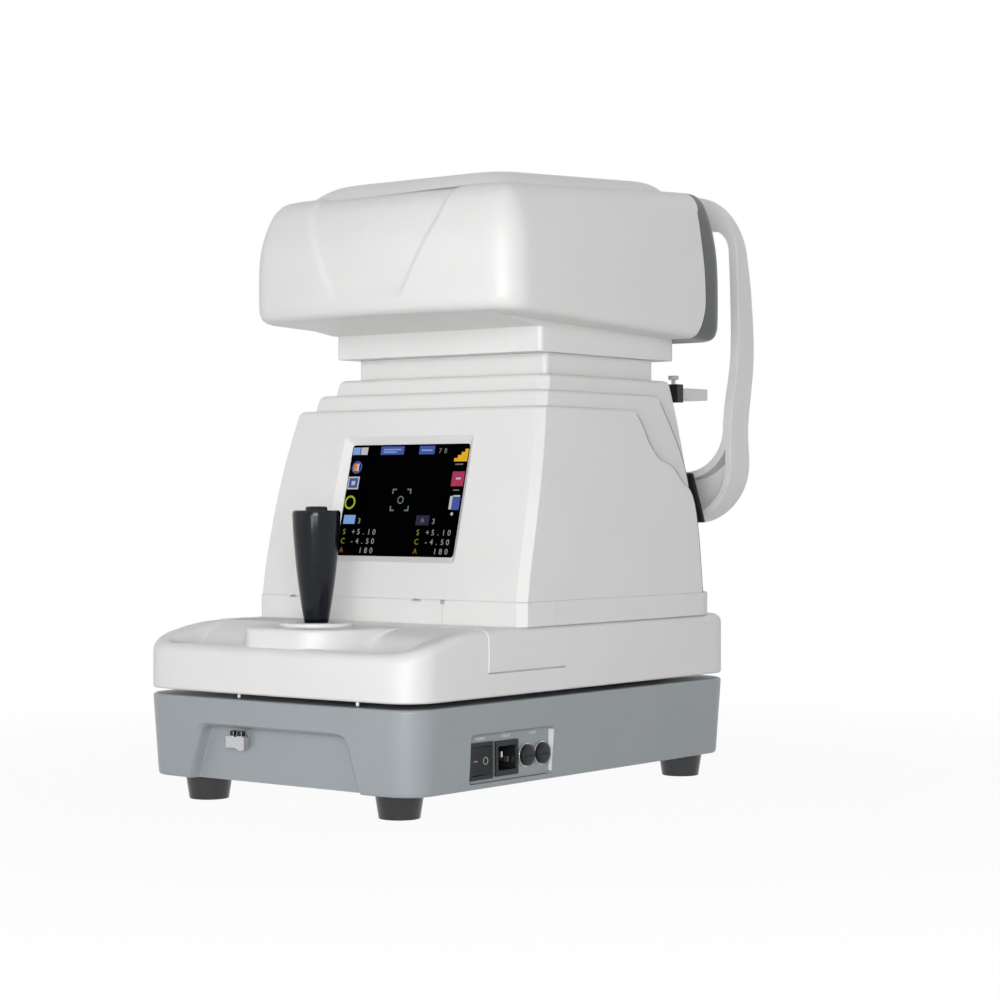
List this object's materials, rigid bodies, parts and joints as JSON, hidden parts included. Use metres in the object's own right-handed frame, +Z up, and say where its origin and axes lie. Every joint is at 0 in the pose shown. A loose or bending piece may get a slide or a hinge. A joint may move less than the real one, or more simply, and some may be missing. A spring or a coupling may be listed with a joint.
{
  "type": "autorefractor",
  "caption": "Table-top autorefractor with a joystick-driven carriage, a tilted screen in its stepped column, a rising measuring head and a face frame with chin rest.",
  "frame": {"origin": "middle of the overall plan, on the table that the feet stand on", "axes": "+X to the operator's right, +Y towards the patient, +Z up"},
  "size_m": [0.264, 0.5, 0.4765],
  "materials": {
    "white_plastic": "fine satin",
    "grey_plastic": "satin",
    "dark_cover": "satin",
    "black_plastic": "satin",
    "grip_plastic": "polished",
    "foot_rubber": "matt",
    "pad_rubber": "matt",
    "bright_steel": "brushed",
    "lock_chrome": "polished",
    "rail_steel": "ground and polished",
    "bush_brass": "turned",
    "frame_metal": "milled",
    "screen_glass": "polished",
    "window_glass": "coated",
    "board": "solder mask"
  },
  "bodies": {
    "base": {"base_housing": "grey_plastic", "base_plate": "bright_steel", "foot_front_left": "foot_rubber", "foot_front_right": "foot_rubber", "foot_rear_left": "foot_rubber", "foot_rear_right": "foot_rubber", "base_screws": "bright_steel", "port_panel": "grey_plastic", "switch_frame": "black_plastic", "power_inlet": "black_plastic", "inlet_pins": "bright_steel", "fuse_holders": "bright_steel", "power_supply": "bright_steel", "depth_rails": "rail_steel", "rail_blocks": "frame_metal", "chin_post": "white_plastic", "chin_motor": "bright_steel", "hoop_mount": "black_plastic", "face_hoop": "white_plastic", "brow_pad": "pad_rubber"},
    "power_rocker": {"power_rocker": "black_plastic"},
    "fuse_cap_front": {"fuse_cap_front": "black_plastic"},
    "fuse_cap_rear": {"fuse_cap_rear": "black_plastic"},
    "lock_knob": {"lock_knob": "lock_chrome"},
    "cross_slide": {"cross_plate": "frame_metal", "depth_bushes": "bush_brass", "side_rails": "rail_steel"},
    "carriage": {"carriage_plate": "bright_steel", "side_bushes": "bush_brass", "tray_cover": "white_plastic", "plinth": "white_plastic", "front_cover": "white_plastic", "mid_cover": "white_plastic", "rear_cover": "white_plastic", "screen": "screen_glass", "main_board": "board", "lift_motor": "bright_steel", "lift_rods": "rail_steel", "joystick_socket": "black_plastic", "joystick_disc": "white_plastic"},
    "head": {"neck": "white_plastic", "head_pan": "white_plastic", "head_shell": "white_plastic", "patient_cover": "dark_cover", "lift_plate": "frame_metal", "optical_bench": "frame_metal", "lens_barrel": "black_plastic", "window_glass": "window_glass", "camera_module": "black_plastic"},
    "lift_screw": {"lift_screw": "rail_steel"},
    "gimbal": {"gimbal_ring": "bright_steel"},
    "stick": {"joystick_shaft": "bright_steel"},
    "grip": {"joystick_grip": "grip_plastic"},
    "button": {"joystick_button": "grip_plastic"},
    "chin": {"chin_stem": "black_plastic", "chin_rest": "white_plastic", "chin_pins": "white_plastic"},
    "chin_screw": {"chin_screw": "rail_steel"}
  },
  "joints": [
    {"name": "carriage_depth", "type": "slide", "parent": "base", "child": "cross_slide", "axis": [0, 1, 0], "range_m": [-0.02, 0.02]},
    {"name": "carriage_side", "type": "slide", "parent": "cross_slide", "child": "carriage", "axis": [1, 0, 0], "range_m": [-0.042, 0.042]},
    {"name": "head_lift", "type": "slide", "parent": "carriage", "child": "head", "axis": [0, 0, 1], "range_m": [-0.015, 0.015]},
    {"name": "lift_screw_turn", "type": "hinge", "parent": "carriage", "child": "lift_screw", "pos_m": [0, 0.02605, 0.129], "axis": [0, 0, 1], "range_deg": [-540, 540]},
    {"name": "joystick_fore_aft", "type": "hinge", "parent": "carriage", "child": "gimbal", "pos_m": [0, -0.198, 0.115], "axis": [1, 0, 0], "range_deg": [-10, 10], "stiffness_Nm_per_rad": 0.4},
    {"name": "joystick_sideways", "type": "hinge", "parent": "gimbal", "child": "stick", "pos_m": [0, -0.198, 0.115], "axis": [0, 1, 0], "range_deg": [-10, 10], "stiffness_Nm_per_rad": 0.4},
    {"name": "joystick_turn", "type": "hinge", "parent": "stick", "child": "grip", "pos_m": [0, -0.198, 0.2125], "axis": [0, 0, 1], "range_deg": [-540, 540]},
    {"name": "measure_button", "type": "slide", "parent": "grip", "child": "button", "axis": [0, 0, 1], "range_m": [-0.0025, 0], "stiffness_N_per_m": 400},
    {"name": "chin_lift", "type": "slide", "parent": "base", "child": "chin", "axis": [0, 0, 1], "range_m": [-0.025, 0.025]},
    {"name": "chin_screw_turn", "type": "hinge", "parent": "base", "child": "chin_screw", "pos_m": [0, 0.1875, 0.022], "axis": [0, 0, 1], "range_deg": [-900, 900]},
    {"name": "power_switch", "type": "hinge", "parent": "base", "child": "power_rocker", "pos_m": [0.1215, -0.1664, 0.0375], "axis": [0, 0, 1], "range_deg": [0, 20]},
    {"name": "fuse_front_turn", "type": "hinge", "parent": "base", "child": "fuse_cap_front", "pos_m": [0.1255, -0.1145, 0.0375], "axis": [1, 0, 0], "range_deg": [0, 90]},
    {"name": "fuse_rear_turn", "type": "hinge", "parent": "base", "child": "fuse_cap_rear", "pos_m": [0.1255, -0.0963, 0.0375], "axis": [1, 0, 0], "range_deg": [0, 90]},
    {"name": "carriage_lock", "type": "hinge", "parent": "base", "child": "lock_knob", "pos_m": [-0.037, -0.246, 0.0465], "axis": [0, 1, 0], "range_deg": [0, 90]}
  ],
  "couplings": [
    {"joint": "lift_screw_turn", "follows": "head_lift", "rad_per_m": 628.32},
    {"joint": "joystick_turn", "follows": "head_lift", "rad_per_m": 628.32},
    {"joint": "chin_screw_turn", "follows": "chin_lift", "rad_per_m": 628.32}
  ]
}
